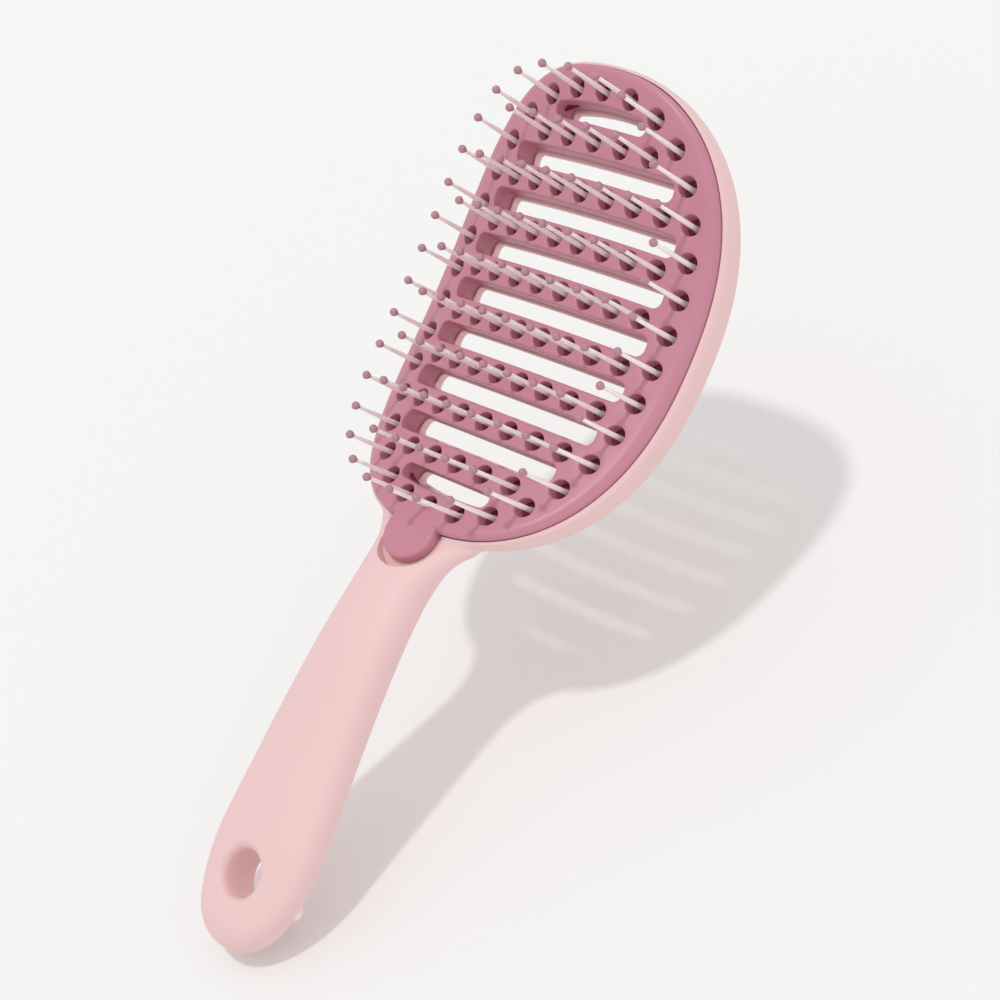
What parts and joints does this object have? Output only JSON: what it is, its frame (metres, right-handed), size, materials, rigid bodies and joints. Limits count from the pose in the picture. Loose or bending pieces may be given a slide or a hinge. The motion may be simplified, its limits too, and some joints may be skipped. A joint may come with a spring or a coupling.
{
  "type": "paddle hairbrush",
  "caption": "Vented paddle hairbrush with a curved oval head, through slots, ball-tipped pins that lean in wells, a lift-out pad with a thumb tab, and a handle with a hang hole.",
  "frame": {"origin": "middle of the overall length and width, on the surface that the brush lies on", "axes": "+Z along the pins, +Y from the handle to the tip of the head, X across the head"},
  "size_m": [0.0906, 0.239, 0.0442],
  "materials": {
    "handle": "soft satin",
    "plate": "satin",
    "bed": "matte",
    "pin": "smooth nylon",
    "tip": "smooth dipped resin"
  },
  "bodies": {
    "handle": {"handle_frame": "handle"},
    "pad": {"bristle_plate": "plate", "pin_bed": "bed"},
    "rim_pair_01": {"pins_rim_pair_01": "pin", "tips_rim_pair_01": "tip"},
    "rim_pair_02": {"pins_rim_pair_02": "pin", "tips_rim_pair_02": "tip"},
    "rim_pair_03": {"pins_rim_pair_03": "pin", "tips_rim_pair_03": "tip"},
    "rim_pair_04": {"pins_rim_pair_04": "pin", "tips_rim_pair_04": "tip"},
    "rim_pair_05": {"pins_rim_pair_05": "pin", "tips_rim_pair_05": "tip"},
    "rim_pair_06": {"pins_rim_pair_06": "pin", "tips_rim_pair_06": "tip"},
    "rim_pair_07": {"pins_rim_pair_07": "pin", "tips_rim_pair_07": "tip"},
    "rim_pair_08": {"pins_rim_pair_08": "pin", "tips_rim_pair_08": "tip"},
    "rim_pair_09": {"pins_rim_pair_09": "pin", "tips_rim_pair_09": "tip"},
    "rim_pair_10": {"pins_rim_pair_10": "pin", "tips_rim_pair_10": "tip"},
    "rim_pair_11": {"pins_rim_pair_11": "pin", "tips_rim_pair_11": "tip"},
    "rim_pair_12": {"pins_rim_pair_12": "pin", "tips_rim_pair_12": "tip"},
    "rim_pair_13": {"pins_rim_pair_13": "pin", "tips_rim_pair_13": "tip"},
    "rim_pair_14": {"pins_rim_pair_14": "pin", "tips_rim_pair_14": "tip"},
    "rim_pair_15": {"pins_rim_pair_15": "pin", "tips_rim_pair_15": "tip"},
    "rim_pair_16": {"pins_rim_pair_16": "pin", "tips_rim_pair_16": "tip"},
    "bar_row_1": {"pins_bar_row_1": "pin", "tips_bar_row_1": "tip"},
    "bar_row_2": {"pins_bar_row_2": "pin", "tips_bar_row_2": "tip"},
    "bar_row_3": {"pins_bar_row_3": "pin", "tips_bar_row_3": "tip"},
    "bar_row_4": {"pins_bar_row_4": "pin", "tips_bar_row_4": "tip"},
    "bar_row_5": {"pins_bar_row_5": "pin", "tips_bar_row_5": "tip"},
    "bar_row_6": {"pins_bar_row_6": "pin", "tips_bar_row_6": "tip"},
    "bar_row_7": {"pins_bar_row_7": "pin", "tips_bar_row_7": "tip"},
    "bar_row_8": {"pins_bar_row_8": "pin", "tips_bar_row_8": "tip"}
  },
  "joints": [
    {"name": "pad_release", "type": "slide", "parent": "handle", "child": "pad", "axis": [0, 0, 1], "range_m": [0, 0.03]},
    {"name": "lean_rim_pair_01", "type": "hinge", "parent": "pad", "child": "rim_pair_01", "pos_m": [0, 0.11222, 0.0253], "axis": [1, 0, 0], "range_deg": [-8, 8], "stiffness_Nm_per_rad": 0.012},
    {"name": "lean_rim_pair_02", "type": "hinge", "parent": "pad", "child": "rim_pair_02", "pos_m": [0, 0.10922, 0.02319], "axis": [1, 0, 0], "range_deg": [-8, 8], "stiffness_Nm_per_rad": 0.008},
    {"name": "lean_rim_pair_03", "type": "hinge", "parent": "pad", "child": "rim_pair_03", "pos_m": [0, 0.10381, 0.02025], "axis": [1, 0, 0], "range_deg": [-8, 8], "stiffness_Nm_per_rad": 0.008},
    {"name": "lean_rim_pair_04", "type": "hinge", "parent": "pad", "child": "rim_pair_04", "pos_m": [0, 0.09644, 0.01708], "axis": [1, 0, 0], "range_deg": [-8, 8], "stiffness_Nm_per_rad": 0.008},
    {"name": "lean_rim_pair_05", "type": "hinge", "parent": "pad", "child": "rim_pair_05", "pos_m": [0, 0.08804, 0.01436], "axis": [1, 0, 0], "range_deg": [-8, 8], "stiffness_Nm_per_rad": 0.008},
    {"name": "lean_rim_pair_06", "type": "hinge", "parent": "pad", "child": "rim_pair_06", "pos_m": [0, 0.07918, 0.01234], "axis": [1, 0, 0], "range_deg": [-8, 8], "stiffness_Nm_per_rad": 0.008},
    {"name": "lean_rim_pair_07", "type": "hinge", "parent": "pad", "child": "rim_pair_07", "pos_m": [0, 0.07014, 0.01105], "axis": [1, 0, 0], "range_deg": [-8, 8], "stiffness_Nm_per_rad": 0.008},
    {"name": "lean_rim_pair_08", "type": "hinge", "parent": "pad", "child": "rim_pair_08", "pos_m": [0, 0.06105, 0.01045], "axis": [1, 0, 0], "range_deg": [-8, 8], "stiffness_Nm_per_rad": 0.008},
    {"name": "lean_rim_pair_09", "type": "hinge", "parent": "pad", "child": "rim_pair_09", "pos_m": [0, 0.05195, 0.01045], "axis": [1, 0, 0], "range_deg": [-8, 8], "stiffness_Nm_per_rad": 0.008},
    {"name": "lean_rim_pair_10", "type": "hinge", "parent": "pad", "child": "rim_pair_10", "pos_m": [0, 0.04286, 0.01105], "axis": [1, 0, 0], "range_deg": [-8, 8], "stiffness_Nm_per_rad": 0.008},
    {"name": "lean_rim_pair_11", "type": "hinge", "parent": "pad", "child": "rim_pair_11", "pos_m": [0, 0.03382, 0.01234], "axis": [1, 0, 0], "range_deg": [-8, 8], "stiffness_Nm_per_rad": 0.008},
    {"name": "lean_rim_pair_12", "type": "hinge", "parent": "pad", "child": "rim_pair_12", "pos_m": [0, 0.02496, 0.01436], "axis": [1, 0, 0], "range_deg": [-8, 8], "stiffness_Nm_per_rad": 0.008},
    {"name": "lean_rim_pair_13", "type": "hinge", "parent": "pad", "child": "rim_pair_13", "pos_m": [0, 0.01656, 0.01708], "axis": [1, 0, 0], "range_deg": [-8, 8], "stiffness_Nm_per_rad": 0.008},
    {"name": "lean_rim_pair_14", "type": "hinge", "parent": "pad", "child": "rim_pair_14", "pos_m": [0, 0.00919, 0.02025], "axis": [1, 0, 0], "range_deg": [-8, 8], "stiffness_Nm_per_rad": 0.008},
    {"name": "lean_rim_pair_15", "type": "hinge", "parent": "pad", "child": "rim_pair_15", "pos_m": [0, 0.00378, 0.02319], "axis": [1, 0, 0], "range_deg": [-8, 8], "stiffness_Nm_per_rad": 0.008},
    {"name": "lean_rim_pair_16", "type": "hinge", "parent": "pad", "child": "rim_pair_16", "pos_m": [0, 0.00078, 0.0253], "axis": [1, 0, 0], "range_deg": [-8, 8], "stiffness_Nm_per_rad": 0.012},
    {"name": "lean_bar_row_1", "type": "hinge", "parent": "pad", "child": "bar_row_1", "pos_m": [0, 0.10025, 0.02088], "axis": [1, 0, 0], "range_deg": [-8, 8], "stiffness_Nm_per_rad": 0.02},
    {"name": "lean_bar_row_2", "type": "hinge", "parent": "pad", "child": "bar_row_2", "pos_m": [0, 0.08775, 0.01724], "axis": [1, 0, 0], "range_deg": [-8, 8], "stiffness_Nm_per_rad": 0.028},
    {"name": "lean_bar_row_3", "type": "hinge", "parent": "pad", "child": "bar_row_3", "pos_m": [0, 0.07525, 0.01495], "axis": [1, 0, 0], "range_deg": [-8, 8], "stiffness_Nm_per_rad": 0.032},
    {"name": "lean_bar_row_4", "type": "hinge", "parent": "pad", "child": "bar_row_4", "pos_m": [0, 0.06275, 0.01392], "axis": [1, 0, 0], "range_deg": [-8, 8], "stiffness_Nm_per_rad": 0.032},
    {"name": "lean_bar_row_5", "type": "hinge", "parent": "pad", "child": "bar_row_5", "pos_m": [0, 0.05025, 0.01392], "axis": [1, 0, 0], "range_deg": [-8, 8], "stiffness_Nm_per_rad": 0.032},
    {"name": "lean_bar_row_6", "type": "hinge", "parent": "pad", "child": "bar_row_6", "pos_m": [0, 0.03775, 0.01495], "axis": [1, 0, 0], "range_deg": [-8, 8], "stiffness_Nm_per_rad": 0.032},
    {"name": "lean_bar_row_7", "type": "hinge", "parent": "pad", "child": "bar_row_7", "pos_m": [0, 0.02525, 0.01724], "axis": [1, 0, 0], "range_deg": [-8, 8], "stiffness_Nm_per_rad": 0.028},
    {"name": "lean_bar_row_8", "type": "hinge", "parent": "pad", "child": "bar_row_8", "pos_m": [0, 0.01275, 0.02088], "axis": [1, 0, 0], "range_deg": [-8, 8], "stiffness_Nm_per_rad": 0.02}
  ],
  "couplings": [
    {"joint": "lean_rim_pair_01", "follows": "lean_bar_row_4", "ratio": 1},
    {"joint": "lean_rim_pair_02", "follows": "lean_bar_row_4", "ratio": 1},
    {"joint": "lean_rim_pair_03", "follows": "lean_bar_row_4", "ratio": 1},
    {"joint": "lean_rim_pair_04", "follows": "lean_bar_row_4", "ratio": 1},
    {"joint": "lean_rim_pair_05", "follows": "lean_bar_row_4", "ratio": 1},
    {"joint": "lean_rim_pair_06", "follows": "lean_bar_row_4", "ratio": 1},
    {"joint": "lean_rim_pair_07", "follows": "lean_bar_row_4", "ratio": 1},
    {"joint": "lean_rim_pair_08", "follows": "lean_bar_row_4", "ratio": 1},
    {"joint": "lean_rim_pair_09", "follows": "lean_bar_row_4", "ratio": 1},
    {"joint": "lean_rim_pair_10", "follows": "lean_bar_row_4", "ratio": 1},
    {"joint": "lean_rim_pair_11", "follows": "lean_bar_row_4", "ratio": 1},
    {"joint": "lean_rim_pair_12", "follows": "lean_bar_row_4", "ratio": 1},
    {"joint": "lean_rim_pair_13", "follows": "lean_bar_row_4", "ratio": 1},
    {"joint": "lean_rim_pair_14", "follows": "lean_bar_row_4", "ratio": 1},
    {"joint": "lean_rim_pair_15", "follows": "lean_bar_row_4", "ratio": 1},
    {"joint": "lean_rim_pair_16", "follows": "lean_bar_row_4", "ratio": 1},
    {"joint": "lean_bar_row_1", "follows": "lean_bar_row_4", "ratio": 1},
    {"joint": "lean_bar_row_2", "follows": "lean_bar_row_4", "ratio": 1},
    {"joint": "lean_bar_row_3", "follows": "lean_bar_row_4", "ratio": 1},
    {"joint": "lean_bar_row_5", "follows": "lean_bar_row_4", "ratio": 1},
    {"joint": "lean_bar_row_6", "follows": "lean_bar_row_4", "ratio": 1},
    {"joint": "lean_bar_row_7", "follows": "lean_bar_row_4", "ratio": 1},
    {"joint": "lean_bar_row_8", "follows": "lean_bar_row_4", "ratio": 1}
  ]
}
